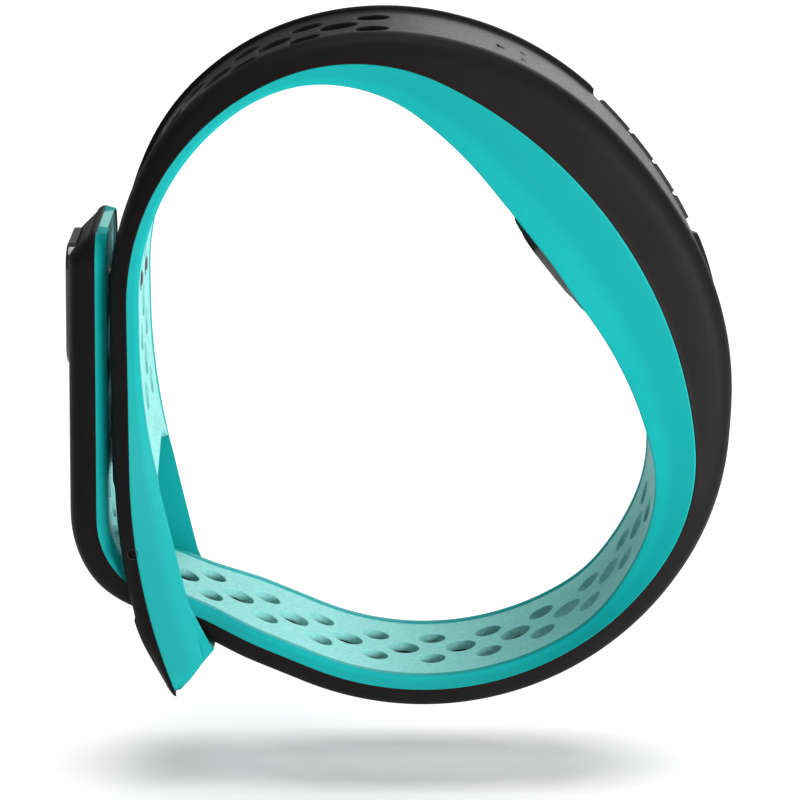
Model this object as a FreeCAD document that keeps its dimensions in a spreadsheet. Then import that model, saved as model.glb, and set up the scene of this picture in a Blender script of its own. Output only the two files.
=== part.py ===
# Fitness tracker band: a two-layer silicone loop with an electronics core, a fold-back tail and a peg clasp.
# Origin at the wrist axis. +X towards the core, +Y across the band, +Z up. Millimetres.
import FreeCAD, Part
import Sketcher
import math
import os

doc = FreeCAD.newDocument("TrackerBand")
vec = FreeCAD.Vector

# ---------------------------------------------------------------- driving dimensions
SIZES = [
    # centre line of the band: the seam between the two silicone layers, as tangent arcs from the core's middle
    ("seamStartX", 19.7), ("seamStartZ", 16.6), ("seamStartHeading", 128.0),
    ("coreArcRadius", 44.5), ("upperCoreTurn", 26.0), ("lowerCoreTurn", 32.5),
    ("crownRadius", 19.0), ("crownTurn", 50.0), ("shoulderRadius", 24.5), ("shoulderTurn", 66.0),
    ("sideStraight", 16.7), ("buckleRadius", 63.0), ("buckleTurn", 21.5),
    ("cornerRadius", 19.3), ("cornerTurn", 37.0), ("baseRadius", 28.0), ("baseTurn", 81.5),
    ("baseStraight", 17.4), ("foldSeamRadius", 8.6), ("foldTurn", 67.7), ("tailLength", 28.6),
    # section of the band
    ("bandWidth", 20.0), ("tailWidth", 16.8), ("outerThickness", 2.3), ("innerThickness", 1.1),
    ("coreOuterRise", 3.5), ("coreInnerRise", 6.05), ("sideRelief", 0.45),
    # where each swelling of the section is full and where it has run out, as distances from the core's middle
    ("upperRiseFull", 5.0), ("upperRiseNone", 36.0), ("lowerRiseFull", 6.0), ("lowerRiseNone", 39.0),
    ("upperDepthFull", 0.0), ("upperDepthNone", 42.0), ("lowerDepthFull", 4.0), ("lowerDepthNone", 50.0),
    ("reliefNone", 45.0), ("reliefFull", 60.0),
    ("lowShoulderInset", 0.35), ("lowShoulderThin", 0.5), ("lowShoulderThick", 0.62),
    ("highShoulderInset", 1.3), ("highShoulderThin", 0.86), ("highShoulderThick", 0.94),
    ("rimInset", 2.7), ("innerEdgeInset", 1.2),
    ("panelInset", 3.1), ("panelDepth", 0.5),
    ("tailNarrowStart", 83.0), ("tailNarrowEnd", 90.5),
    ("tailTipLength", 2.8), ("tailTipThinning", 0.75), ("tailCornerLength", 3.5), ("tailCornerInset", 2.2),
    ("tailRise", 0.5), ("tailRiseLength", 5.0),
    # perforations
    ("holePitch", 6.0), ("sideHoleRadius", 1.45), ("middleHoleRadius", 1.7), ("holeRowOffset", 3.14),
    ("punchDepth", 9.0), ("punchLength", 16.0),
    ("upperFirstPair", 27.5), ("upperPairCount", 9), ("lowerFirstPair", 35.3), ("lowerPairCount", 14),
    # buckle end
    ("buckleRise", 2.85), ("buckleRiseNone", 68.0), ("buckleRiseFull", 96.0), ("buckleTipOuter", 0.75),
    ("buckleTipLength", 8.0), ("windowClearance", 0.3), ("windowTopZ", -11.0), ("windowCornerRadius", 1.2),
    ("barClearance", 0.3), ("tipCut", 2.2), ("pinDistance", 89.9), ("pinOffset", 0.35), ("pinHoleRadius", 0.55),
    ("pinClearance", 0.03), ("pinRecess", 0.7),
    # joints of the folded tail
    ("foldCutAngle", 16.0), ("jointGap", 0.3),
    # clasp on the tail
    ("plateStart", 14.7), ("plateLength", 12.2), ("plateWidth", 11.4), ("plateThickness", 0.9),
    ("plateProud", 0.3), ("plateRadius", 2.4), ("plateEdgeRadius", 0.3), ("pegRadius", 1.06),
    ("pegTipRound", 0.7), ("pegProud", 0.05), ("anchorRadius", 1.0),
    ("pegPairIndex", 6), ("anchorThickness", 0.5), ("anchorMargin", 1.6), ("claspClearance", 0.02),
    # electronics core, in its own frame: length along the band, width across it, height outwards
    ("coreLength", 28.0), ("coreWidth", 12.4), ("coreFloor", -6.4), ("coreTop", 4.2), ("coreTopRadius", 36.0),
    ("coreWall", 0.7), ("coreSplit", -1.6), ("coreFit", 0.05),
    ("sealWidth", 0.35), ("sealDepth", 0.3),
    ("batteryLength", 18.0), ("batteryWidth", 10.0), ("batteryHeight", 3.0), ("batteryOffset", -2.4),
    ("boardLength", 25.6), ("boardWidth", 10.6), ("boardThickness", 0.7), ("bossRadius", 0.75),
    ("bossInset", 0.95), ("screwRadius", 0.35), ("screwHeadRadius", 0.65), ("screwHeadHeight", 0.35),
    ("screwLength", 2.4),
    ("displayLength", 14.0), ("displayWidth", 9.0), ("displayFloor", 1.0), ("displayThickness", 0.5),
    ("ledSize", 0.6), ("ledHeight", 0.35), ("ledPitch", 1.3), ("ledColumns", 10), ("ledRows", 4),
    ("maskThickness", 0.5), ("maskWindow", 0.9), ("ribbonThickness", 0.15), ("ribbonWidth", 5.0),
    ("motorPlace", 9.9), ("motorAxisHeight", -4.0), ("motorRadius", 1.6), ("motorLength", 5.6),
    ("motorStart", -5.2), ("shaftInset", 0.6), ("shaftRadius", 0.4), ("shaftClearance", 0.03),
    ("bushRadius", 0.8), ("weightCutHeight", 0.55),
    ("bushLength", 1.0), ("weightRadius", 1.5), ("weightLength", 3.0), ("weightGap", 0.6),
    # side button and its switches
    ("buttonPlace", 1.6), ("buttonLength", 15.0), ("buttonInnerFace", 7.25), ("buttonFloor", 1.9),
    ("buttonGap", 0.15), ("buttonFloorGap", 0.3), ("buttonTravel", 0.3), ("buttonDrop", 0.2),
    ("grooveWidth", 0.6), ("grooveDepth", 0.45), ("groovePitch", 3.45), ("grooveReach", 1.4),
    ("grooveShift", 0.5),
    ("switchLength", 3.0), ("switchHeight", 1.6), ("switchDepth", 0.66), ("switchSpacing", 7.0),
    # heart-rate sensor on the wrist side
    ("sensorPlace", 2.5), ("sensorLength", 13.8), ("sensorWidth", 9.4), ("sensorFace", -8.15),
    ("lensLength", 8.9), ("lensWidth", 5.6), ("lensFace", -8.52), ("lensSeat", -7.6),
    ("sensorWall", 0.8), ("sensorBoardLength", 6.0), ("sensorBoardWidth", 3.0), ("sensorBoardThickness", 0.3),
    ("sensorChip", 1.0), ("sensorChipHeight", 0.5), ("sensorChipSpacing", 2.4), ("sensorFit", 0.02),
    ("diodeSize", 2.0), ("barrierWall", 0.35), ("barrierFit", 0.1),
    # charging contacts and status lights
    ("contactRadius", 0.75), ("contactPitch", 2.6), ("contactPlace", -9.6), ("contactFace", -7.7),
    ("contactFlange", 1.1), ("contactFlangeThickness", 0.4),
    ("statusDistance", 15.9), ("statusLength", 1.7), ("statusWidth", 1.2),
    ("dotDistance", 13.9), ("dotRadius", 0.5), ("dotSpacing", 3.5), ("lensDepth", 0.6),
]

sheet = doc.addObject("Spreadsheet::Sheet", "Sizes")
for row, (alias, number) in enumerate(SIZES, start=1):
    sheet.set("A%d" % row, alias)
    sheet.set("B%d" % row, str(number))
    sheet.setAlias("B%d" % row, alias)
doc.recompute()


def size(alias):
    return float(sheet.get(alias))


# ---------------------------------------------------------------- the seam line as tangent arcs
def chain(heading, legs):
    """Legs are (radius, turn) arcs, or (0, length) straights. Turn is positive to the left."""
    point = vec(size("seamStartX"), 0, size("seamStartZ"))
    placed = []
    begun = 0.0
    for radius, amount in legs:
        turn = math.radians(amount) if radius else 0.0
        length = abs(radius * turn) if radius else amount
        bend = turn / length
        placed.append((begun, length, point, heading, bend))
        point, heading = along(point, heading, bend, length)
        begun += length
    return placed


def along(point, heading, bend, distance):
    """The point and heading reached from a point by a run of constant bend."""
    turned = heading + bend * distance
    if abs(bend) < 1e-9:
        step = vec(math.cos(heading), 0, math.sin(heading)) * distance
    else:
        across = vec(math.sin(turned) - math.sin(heading), 0, math.cos(heading) - math.cos(turned))
        step = across * (1.0 / bend)
    return point + step, turned


upperHeading = math.radians(size("seamStartHeading"))
upperLegs = [
    (size("coreArcRadius"), size("upperCoreTurn")),
    (size("crownRadius"), size("crownTurn")),
    (size("shoulderRadius"), size("shoulderTurn")),
    (0, size("sideStraight")),
    (size("buckleRadius"), size("buckleTurn")),
]
lowerLegs = [
    (size("coreArcRadius"), -size("lowerCoreTurn")),
    (size("cornerRadius"), -size("cornerTurn")),
    (size("baseRadius"), -size("baseTurn")),
    (0, size("baseStraight")),
    (size("foldSeamRadius"), -size("foldTurn")),
    (0, size("tailLength")),
]
upper = chain(upperHeading, upperLegs)
lower = chain(upperHeading + math.pi, lowerLegs)
upperEnd = upper[-1][0] + upper[-1][1]
foldBegin = lower[4][0]
tailBegin = lower[5][0]
tailEnd = tailBegin + size("tailLength")


def seam(side, distance):
    """The seam point and the outward direction at a distance from the core's middle."""
    for begun, length, point, heading, bend in side:
        if distance <= begun + length + 1e-9:
            break
    spot, turned = along(point, heading, bend, distance - begun)
    outward = vec(math.sin(turned), 0, -math.cos(turned))
    return (spot, outward) if side is upper else (spot, outward * -1)


def ramp(value, full, none, rounding):
    """1 at full, 0 at none, straight between them with rounded ends."""
    share = min(1.0, max(0.0, (value - none) / (full - none)))
    scale = 2.0 * rounding * (1.0 - rounding)
    if share < rounding:
        return share * share / scale
    if share > 1.0 - rounding:
        return 1.0 - (1.0 - share) ** 2 / scale
    return (share - rounding / 2.0) / (1.0 - rounding)


def outerOffset(side, distance):
    """Height of the black layer over the seam."""
    if side is upper:
        rise = ramp(distance, size("upperRiseFull"), size("upperRiseNone"), 0.5)
        relief = ramp(distance, size("reliefFull"), size("reliefNone"), 0.5)
        height = size("outerThickness") + size("coreOuterRise") * rise - size("sideRelief") * relief
        tip = ramp(distance, upperEnd, upperEnd - size("buckleTipLength"), 0.3)
        return height + (size("buckleTipOuter") - height) * tip
    rise = ramp(distance, size("lowerRiseFull"), size("lowerRiseNone"), 0.5)
    fold = ramp(distance, foldBegin + size("tailRiseLength"), foldBegin, 0.3)
    tip = ramp(distance, tailEnd, tailEnd - size("tailTipLength"), 0.2)
    height = size("outerThickness") + size("coreOuterRise") * rise + size("tailRise") * fold
    return height * (1 - size("tailTipThinning") * tip)


def innerOffset(side, distance):
    """Depth of the teal layer under the seam."""
    if side is upper:
        core = ramp(distance, size("upperDepthFull"), size("upperDepthNone"), 0.25)
        buckle = ramp(distance, size("buckleRiseFull"), size("buckleRiseNone"), 0.5)
        return size("innerThickness") + size("coreInnerRise") * core + size("buckleRise") * buckle
    core = ramp(distance, size("lowerDepthFull"), size("lowerDepthNone"), 0.1)
    return size("innerThickness") + size("coreInnerRise") * core


def halfWidth(side, distance):
    """Half the width of the band at its seam."""
    if side is upper:
        return size("bandWidth") / 2
    wide = size("bandWidth") / 2
    narrow = size("tailWidth") / 2
    width = narrow + (wide - narrow) * ramp(distance, size("tailNarrowStart"), size("tailNarrowEnd"), 0.3)
    corner = size("tailCornerLength")
    reach = max(0.0, distance - (tailEnd - corner)) / corner
    return width - size("tailCornerInset") * (1 - math.sqrt(max(0.0, 1 - reach * reach)))


# ---------------------------------------------------------------- silicone layers
def stationList(first, last, step=2.2):
    count = max(3, int(round((last - first) / step)) + 1)
    return [first + (last - first) * i / (count - 1) for i in range(count)]


def rowPoint(side, distance, inset, offset, hand):
    spot, outward = seam(side, distance)
    place = spot + outward * offset(distance)
    return vec(place.x, hand * (halfWidth(side, distance) - inset), place.z)


def layer(side, first, last, rows):
    """A closed solid between seam distances: rows are (inset from the band's edge, height function)."""
    stations = stationList(first, last)
    curves = {}
    for hand in (-1, 1):
        for index, (inset, offset) in enumerate(rows):
            curve = Part.BSplineCurve()
            curve.interpolate([rowPoint(side, d, inset, offset, hand) for d in stations])
            curves[hand, index] = curve
    faces = []
    top = len(rows) - 1
    for hand in (-1, 1):
        for index in range(top):
            faces.append(curves[hand, index].makeRuledSurface(curves[hand, index + 1]).toShape())
    for index in (0, top):
        faces.append(curves[-1, index].makeRuledSurface(curves[1, index]).toShape())
    for distance in (first, last):
        right = [rowPoint(side, distance, inset, offset, 1) for inset, offset in rows]
        left = [rowPoint(side, distance, inset, offset, -1) for inset, offset in reversed(rows)]
        loop = right + left
        faces.append(Part.Face(Part.makePolygon(loop + [loop[0]])))
    shell = Part.Shell(faces)
    shell.sewShape()
    solid = Part.Solid(shell)
    if solid.Volume < 0:
        solid.reverse()
    return solid


def outerLayer(side, first, last, drop=0.0):
    """The black layer: convex sides up to a rim, with the panel between the rims cut lower."""
    height = lambda d: outerOffset(side, d) - drop
    fullness = lambda d: min(1.0, max(0.0, (height(d) - size("outerThickness")) / size("coreOuterRise")))
    rising = lambda thin, thick: lambda d: (thin + (thick - thin) * fullness(d)) * height(d)
    return layer(side, first, last, [
        (0, lambda d: 0.0),
        (size("lowShoulderInset"), rising(size("lowShoulderThin"), size("lowShoulderThick"))),
        (size("highShoulderInset"), rising(size("highShoulderThin"), size("highShoulderThick"))),
        (size("rimInset"), height),
    ])


def panelCutter(side, first, last):
    return layer(side, first, last, [
        (size("panelInset"), lambda d: outerOffset(side, d) - size("panelDepth")),
        (size("panelInset"), lambda d: outerOffset(side, d) + 1.5),
    ])


def innerLayer(side, first, last):
    """The teal layer: sloping sides from the seam to the face on the wrist."""
    return layer(side, first, last, [
        (0, lambda d: 0.0),
        (size("innerEdgeInset"), lambda d: -innerOffset(side, d)),
    ])


def punch(side, distance, across, radius):
    """A round cutter square to the band."""
    spot, outward = seam(side, distance)
    base = vec(spot.x, across, spot.z) - outward * size("punchDepth")
    return Part.makeCylinder(radius, size("punchLength"), base, outward)


def perforations(side, firstPair, pairCount):
    """Pairs of side holes with a larger middle hole half a pitch after each pair but the last."""
    cutters = []
    for index in range(int(pairCount)):
        distance = firstPair + index * size("holePitch")
        for hand in (-1, 1):
            cutters.append(punch(side, distance, hand * size("holeRowOffset"), size("sideHoleRadius")))
        if index < pairCount - 1:
            half = distance + size("holePitch") / 2
            cutters.append(punch(side, half, 0, size("middleHoleRadius")))
    return cutters


def feature(label, shape, placement=None):
    """A named part whose shape is set here from the sheet's sizes."""
    part = doc.addObject("Part::Feature", label)
    part.Label = label
    part.Shape = shape
    if placement:
        part.Placement = placement
    return part


corePlacement = FreeCAD.Placement(
    vec(size("seamStartX"), 0, size("seamStartZ")),
    FreeCAD.Rotation(vec(0, 1, 0), 180 - size("seamStartHeading")),
)


def inCore(length, across, height):
    """A placement in the core's frame: along the band, across it, outwards."""
    return corePlacement.multiply(FreeCAD.Placement(vec(length, across, height), FreeCAD.Rotation()))


def coreBox(lengths, widths, heights):
    box = Part.makeBox(
        lengths[1] - lengths[0], widths[1] - widths[0], heights[1] - heights[0],
        vec(lengths[0], widths[0], heights[0]),
    )
    box.Placement = corePlacement.multiply(box.Placement)
    return box


# ---------------------------------------------------------------- PartDesign helpers
def newBody(label, placement):
    body = doc.addObject("PartDesign::Body", label)
    body.Label = label
    body.Placement = placement
    return body


def newSketch(body, role, name, lift=None):
    sketch = body.newObject("Sketcher::SketchObject", name)
    plane = [item for item in body.Origin.OriginFeatures if item.Role == role][0]
    sketch.AttachmentSupport = [(plane, "")]
    sketch.MapMode = "FlatFace"
    if lift:
        sketch.setExpression("AttachmentOffset.Base.z", lift)
    return sketch


def rectangle(sketch, length, width, middle="0", side="0"):
    """A rectangle with its centre at (middle, side); every size is an expression."""
    first = sketch.GeometryCount
    corners = [vec(-1, -1, 0), vec(1, -1, 0), vec(1, 1, 0), vec(-1, 1, 0)]
    for index in range(4):
        sketch.addGeometry(Part.LineSegment(corners[index], corners[(index + 1) % 4]), False)
    for index in range(4):
        after = first + (index + 1) % 4
        sketch.addConstraint(Sketcher.Constraint("Coincident", first + index, 2, after, 1))
    for index in (0, 2):
        sketch.addConstraint(Sketcher.Constraint("Horizontal", first + index))
    for index in (1, 3):
        sketch.addConstraint(Sketcher.Constraint("Vertical", first + index))
    bound = [
        (Sketcher.Constraint("DistanceX", first, 1, first, 2, 2.0), length),
        (Sketcher.Constraint("DistanceY", first + 1, 1, first + 1, 2, 2.0), width),
        (Sketcher.Constraint("DistanceX", -1, 1, first, 2, 1.0), "(%s) + (%s) / 2" % (middle, length)),
        (Sketcher.Constraint("DistanceY", -1, 1, first + 1, 2, 1.0), "(%s) + (%s) / 2" % (side, width)),
    ]
    for constraint, expression in bound:
        index = sketch.addConstraint(constraint)
        sketch.setExpression("Constraints[%d]" % index, expression)


def circle(sketch, radius, middle, side):
    index = sketch.addGeometry(Part.Circle(vec(0.5, 0.5, 0), vec(0, 0, 1), 1), False)
    bound = [
        (Sketcher.Constraint("Radius", index, 1.0), radius),
        (Sketcher.Constraint("DistanceX", -1, 1, index, 3, 0.5), middle),
        (Sketcher.Constraint("DistanceY", -1, 1, index, 3, 0.5), side),
    ]
    for constraint, expression in bound:
        number = sketch.addConstraint(constraint)
        sketch.setExpression("Constraints[%d]" % number, expression)


def slot(sketch, length, width, middle):
    """A straight slot with round ends, centred across at zero, long way along the sketch's X axis."""
    first = sketch.GeometryCount
    sketch.addGeometry(Part.LineSegment(vec(-3, -2, 0), vec(3, -2, 0)), False)
    right = Part.Circle(vec(3, 0, 0), vec(0, 0, 1), 2)
    sketch.addGeometry(Part.ArcOfCircle(right, -math.pi / 2, math.pi / 2), False)
    sketch.addGeometry(Part.LineSegment(vec(3, 2, 0), vec(-3, 2, 0)), False)
    left = Part.Circle(vec(-3, 0, 0), vec(0, 0, 1), 2)
    sketch.addGeometry(Part.ArcOfCircle(left, math.pi / 2, 3 * math.pi / 2), False)
    for index in range(4):
        after = first + (index + 1) % 4
        sketch.addConstraint(Sketcher.Constraint("Tangent", first + index, 2, after, 1))
    sketch.addConstraint(Sketcher.Constraint("Horizontal", first))
    sketch.addConstraint(Sketcher.Constraint("PointOnObject", first + 1, 3, -1))
    bound = [
        (Sketcher.Constraint("Radius", first + 1, 2.0), "(%s) / 2" % width),
        (Sketcher.Constraint("DistanceX", first + 3, 3, first + 1, 3, 6.0), "(%s) - (%s)" % (length, width)),
        (Sketcher.Constraint("DistanceX", -1, 1, first + 1, 3, 3.0),
         "(%s) + ((%s) - (%s)) / 2" % (middle, length, width)),
    ]
    for constraint, expression in bound:
        number = sketch.addConstraint(constraint)
        sketch.setExpression("Constraints[%d]" % number, expression)


def pad(body, sketch, length, name="Pad"):
    """A pad upwards from its sketch."""
    made = body.newObject("PartDesign::Pad", name)
    made.Profile = sketch
    made.setExpression("Length", length)
    return made


def pocket(body, sketch, length, name="Pocket", upwards=True):
    """A pocket with its depth and direction set."""
    made = body.newObject("PartDesign::Pocket", name)
    made.Profile = sketch
    made.setExpression("Length", length)
    made.Reversed = upwards
    return made


def block(label, length, width, height, middle, side, floor):
    """A plain rectangular part in the core's frame, every size an expression."""
    body = newBody(label, corePlacement)
    sketch = newSketch(body, "XY_Plane", label + "_outline", floor)
    rectangle(sketch, length, width, middle, side)
    pad(body, sketch, height)
    return body


def primitive(kind, name, placement, **expressions):
    """A Part primitive in the core's frame with its sizes bound to the sheet."""
    made = doc.addObject(kind, name)
    made.Placement = placement
    for prop, expression in expressions.items():
        made.setExpression(prop, expression)
    return made


def boolean(kind, name, base, tool):
    made = doc.addObject(kind, name)
    made.Base = base
    made.Tool = tool
    return made


# ---------------------------------------------------------------- electronics core: housing
halfCore = size("coreLength") / 2
halfCoreWide = size("coreWidth") / 2
coreWall = size("coreWall")
coreSplit = size("coreSplit")
lyingAcross = FreeCAD.Rotation(vec(1, 0, 0), -90)


def domedBlock(name, walls, floor, below=0):
    """A block with a cylindrical top, inset by 0 or 1 walls all round, from so far below the named floor."""
    inset = walls * coreWall
    base = primitive(
        "Part::Box", name + "Block", inCore(-halfCore + inset, -halfCoreWide + inset, size(floor) - below),
        Length="Sizes.coreLength - %d * Sizes.coreWall" % (2 * walls),
        Width="Sizes.coreWidth - %d * Sizes.coreWall" % (2 * walls),
        Height="Sizes.coreTop - Sizes.%s + %d" % (floor, below),
    )
    axis = corePlacement.multiply(FreeCAD.Placement(
        vec(0, -halfCoreWide - 1, size("coreTop") - size("coreTopRadius")), lyingAcross))
    dome = primitive(
        "Part::Cylinder", name + "Dome", axis,
        Radius="Sizes.coreTopRadius - %d * Sizes.coreWall" % walls, Height="Sizes.coreWidth + 2",
    )
    common = doc.addObject("Part::Common", name)
    common.Base = base
    common.Tool = dome
    return common


envelope = domedBlock("envelope", 0, "coreFloor")
coverBlank = domedBlock("coverBlank", 0, "coreSplit")
coverHollow = domedBlock("coverHollow", 1, "coreSplit", 1)
boolean("Part::Cut", "core_cover", coverBlank, coverHollow)

tub = newBody("core_base", corePlacement)
tubOutline = newSketch(tub, "XY_Plane", "tub_outline", "Sizes.coreFloor")
rectangle(tubOutline, "Sizes.coreLength", "Sizes.coreWidth")
pad(tub, tubOutline, "Sizes.coreSplit - Sizes.coreFloor")
hollow = newSketch(tub, "XY_Plane", "tub_hollow", "Sizes.coreFloor + Sizes.coreWall")
rectangle(hollow, "Sizes.coreLength - 2 * Sizes.coreWall", "Sizes.coreWidth - 2 * Sizes.coreWall")
pocket(tub, hollow, "Sizes.coreSplit - Sizes.coreFloor", "Hollow")
bosses = newSketch(tub, "XY_Plane", "boss_outline", "Sizes.coreFloor + Sizes.coreWall")
bossX = "(Sizes.coreLength / 2 - Sizes.coreWall - Sizes.bossInset)"
bossY = "(Sizes.coreWidth / 2 - Sizes.coreWall - Sizes.bossInset)"
bossCorners = [(1, 1), (-1, 1), (-1, -1), (1, -1)]


def cornerCircles(sketch, radius):
    for handX, handY in bossCorners:
        circle(sketch, radius, "%d * %s" % (handX, bossX), "%d * %s" % (handY, bossY))


cornerCircles(bosses, "Sizes.bossRadius")
pad(tub, bosses, "Sizes.coreSplit - Sizes.coreFloor - Sizes.coreWall - Sizes.boardThickness", "Bosses")
bores = newSketch(tub, "XY_Plane", "boss_bores", "Sizes.coreSplit - Sizes.screwLength")
cornerCircles(bores, "Sizes.screwRadius")
pocket(tub, bores, "Sizes.screwLength", "BossBores")
groove = newSketch(tub, "XY_Plane", "seal_groove", "Sizes.coreSplit - Sizes.sealDepth")
sealMiddle = "(Sizes.coreWall - Sizes.sealWidth)"


def sealRing(sketch):
    """Two rectangles about the middle of the tub's wall."""
    for spread in ("", " - 2 * Sizes.sealWidth"):
        rectangle(sketch, "Sizes.coreLength - %s%s" % (sealMiddle, spread),
                  "Sizes.coreWidth - %s%s" % (sealMiddle, spread))


sealRing(groove)
pocket(tub, groove, "Sizes.sealDepth", "SealGroove")
seal = newBody("core_seal", corePlacement)
ring = newSketch(seal, "XY_Plane", "seal_outline", "Sizes.coreSplit - Sizes.sealDepth")
sealRing(ring)
pad(seal, ring, "Sizes.sealDepth")

# ---------------------------------------------------------------- electronics core: contents
boardFloor = "(Sizes.coreSplit - Sizes.boardThickness)"
block("battery", "Sizes.batteryLength", "Sizes.batteryWidth", "Sizes.batteryHeight",
      "Sizes.batteryOffset", "0", "Sizes.coreFloor + Sizes.coreWall")
board = block("main_board", "Sizes.boardLength", "Sizes.boardWidth", "Sizes.boardThickness",
              "0", "0", boardFloor)
drills = newSketch(board, "XY_Plane", "board_holes", boardFloor)
cornerCircles(drills, "Sizes.screwRadius + 0.05")
pocket(board, drills, "Sizes.boardThickness", "BoardHoles")


def placedBoxes(boxes):
    """A group of separate boxes in the core's frame, each given by its three ranges."""
    return Part.makeCompound([coreBox(*ranges) for ranges in boxes])


def boxAbout(middle, side, floor, length, width, height):
    return ((middle - length / 2, middle + length / 2), (side - width / 2, side + width / 2),
            (floor, floor + height))


boardTop = coreSplit
chips = [
    # middle along and across, then length, width and height
    (-1.5, 0, 4.6, 4.6, 0.8),
    (4.2, 1.8, 2.6, 2.6, 0.7),
    (4.2, -2.2, 2.2, 2.2, 0.8),
    (-7.0, 2.2, 2.6, 2.0, 0.6),
]
feature("board_chips", placedBoxes([
    boxAbout(middle, side, boardTop, length, width, height)
    for middle, side, length, width, height in chips]))
feature("antenna", coreBox(*boxAbout(-10.2, 0, boardTop, 1.2, 6.0, 1.0)))

screws = []
screwLength = size("screwLength")
for handX, handY in bossCorners:
    x = handX * (halfCore - coreWall - size("bossInset"))
    y = handY * (halfCoreWide - coreWall - size("bossInset"))
    head = Part.makeCylinder(size("screwHeadRadius"), size("screwHeadHeight"), vec(x, y, boardTop))
    shank = Part.makeCylinder(size("screwRadius"), screwLength, vec(x, y, boardTop - screwLength))
    screws.append(head.fuse(shank))
feature("board_screws", Part.makeCompound(screws), corePlacement)

block("display_board", "Sizes.displayLength", "Sizes.displayWidth", "Sizes.displayThickness",
      "0", "0", "Sizes.displayFloor")
displayTop = size("displayFloor") + size("displayThickness")
ledPlaces = []
for column in range(int(size("ledColumns"))):
    for line in range(int(size("ledRows"))):
        x = (column - (size("ledColumns") - 1) / 2) * size("ledPitch")
        y = (line - (size("ledRows") - 1) / 2) * size("ledPitch")
        ledPlaces.append((x, y))
ledSize = size("ledSize")
feature("display_leds", placedBoxes(
    [boxAbout(x, y, displayTop, ledSize, ledSize, size("ledHeight")) for x, y in ledPlaces]))
mask = coreBox(*boxAbout(0, 0, displayTop, size("displayLength"), size("displayWidth"), size("maskThickness")))
maskWindow = size("maskWindow")
feature("light_mask", mask.cut([coreBox(*boxAbout(x, y, displayTop - 0.1, maskWindow, maskWindow, 1))
                                for x, y in ledPlaces]))
ribbonEdge = size("displayLength") / 2
ribbonThin = size("ribbonThickness")
feature("display_ribbon", coreBox(
    (ribbonEdge, ribbonEdge + ribbonThin), (-size("ribbonWidth") / 2, size("ribbonWidth") / 2),
    (boardTop, displayTop)))

# ---------------------------------------------------------------- vibration motor, axis across the band
motorAxis = (size("motorPlace"), size("motorAxisHeight"))


def acrossCylinder(radius, begin, length):
    rod = Part.makeCylinder(radius, length, vec(motorAxis[0], begin, motorAxis[1]), vec(0, 1, 0))
    rod.Placement = corePlacement.multiply(rod.Placement)
    return rod


motorStart = size("motorStart")
motorLength = size("motorLength")
motorEnd = motorStart + motorLength
shaftStart = motorStart + size("shaftInset")
weightStart = motorEnd + size("bushLength") / 2 + size("weightGap")
weightEnd = weightStart + size("weightLength")
bushStart = motorEnd - size("bushLength") / 2
shaftBore = acrossCylinder(size("shaftRadius") + size("shaftClearance"), shaftStart - 0.2, motorLength + 2)
bushBlank = acrossCylinder(size("bushRadius"), bushStart, size("bushLength"))
motorCan = acrossCylinder(size("motorRadius"), motorStart, motorLength)
feature("motor_can", motorCan.cut([shaftBore, bushBlank]))
feature("motor_bush", bushBlank.cut(shaftBore))
feature("motor_shaft", acrossCylinder(size("shaftRadius"), shaftStart, weightEnd - shaftStart))
weightRoom = 2 * size("weightRadius")
weightHalf = coreBox((motorAxis[0] - weightRoom, motorAxis[0] + weightRoom), (weightStart, weightEnd),
                     (motorAxis[1] - weightRoom, motorAxis[1] + size("weightCutHeight")))
weight = acrossCylinder(size("weightRadius"), weightStart, size("weightLength")).common(weightHalf)
feature("motor_weight", weight.cut(acrossCylinder(size("shaftRadius"), weightStart - 1, 6)))

# ---------------------------------------------------------------- heart-rate sensor
sensorPlace = size("sensorPlace")
coreFloor = size("coreFloor")
sensorBase = newBody("sensor_base", corePlacement)
oval = newSketch(sensorBase, "XY_Plane", "sensor_outline", "Sizes.sensorFace")
slot(oval, "Sizes.sensorLength", "Sizes.sensorWidth", "Sizes.sensorPlace")
pad(sensorBase, oval, "Sizes.coreFloor - Sizes.sensorFace")
lensSeat = newSketch(sensorBase, "XY_Plane", "lens_seat", "Sizes.sensorFace")
slot(lensSeat, "Sizes.lensLength", "Sizes.lensWidth", "Sizes.sensorPlace")
pocket(sensorBase, lensSeat, "Sizes.lensSeat - Sizes.sensorFace", "LensSeat")
well = newSketch(sensorBase, "XY_Plane", "chip_well", "Sizes.lensSeat")
slot(well, "Sizes.lensLength - Sizes.sensorWall", "Sizes.lensWidth - Sizes.sensorWall", "Sizes.sensorPlace")
pocket(sensorBase, well, "Sizes.coreFloor - Sizes.lensSeat", "ChipWell")
lens = newBody("sensor_window", corePlacement)
lensOval = newSketch(lens, "XY_Plane", "lens_outline", "Sizes.lensFace")
slot(lensOval, "Sizes.lensLength", "Sizes.lensWidth", "Sizes.sensorPlace")
pad(lens, lensOval, "Sizes.lensSeat - Sizes.lensFace")

sensorBoardFloor = coreFloor - size("sensorBoardThickness")
feature("sensor_board", coreBox(*boxAbout(
    sensorPlace, 0, sensorBoardFloor,
    size("sensorBoardLength"), size("sensorBoardWidth"), size("sensorBoardThickness"))))
chip = size("sensorChip")
chipFloor = sensorBoardFloor - size("sensorChipHeight")
chipHeight = size("sensorChipHeight")
chipSpacing = size("sensorChipSpacing")
feature("sensor_leds", placedBoxes([
    boxAbout(sensorPlace + hand * chipSpacing, 0, chipFloor, chip, chip, chipHeight) for hand in (-1, 1)]))
diode = size("diodeSize")
feature("photodiode", coreBox(*boxAbout(sensorPlace, 0, chipFloor, diode, diode, chipHeight)))
insideSpan = diode + 2 * size("barrierFit")
wallSpan = insideSpan + 2 * size("barrierWall")
barrierHeight = sensorBoardFloor - size("lensSeat")
barrier = coreBox(*boxAbout(sensorPlace, 0, size("lensSeat"), wallSpan, wallSpan, barrierHeight))
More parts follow.
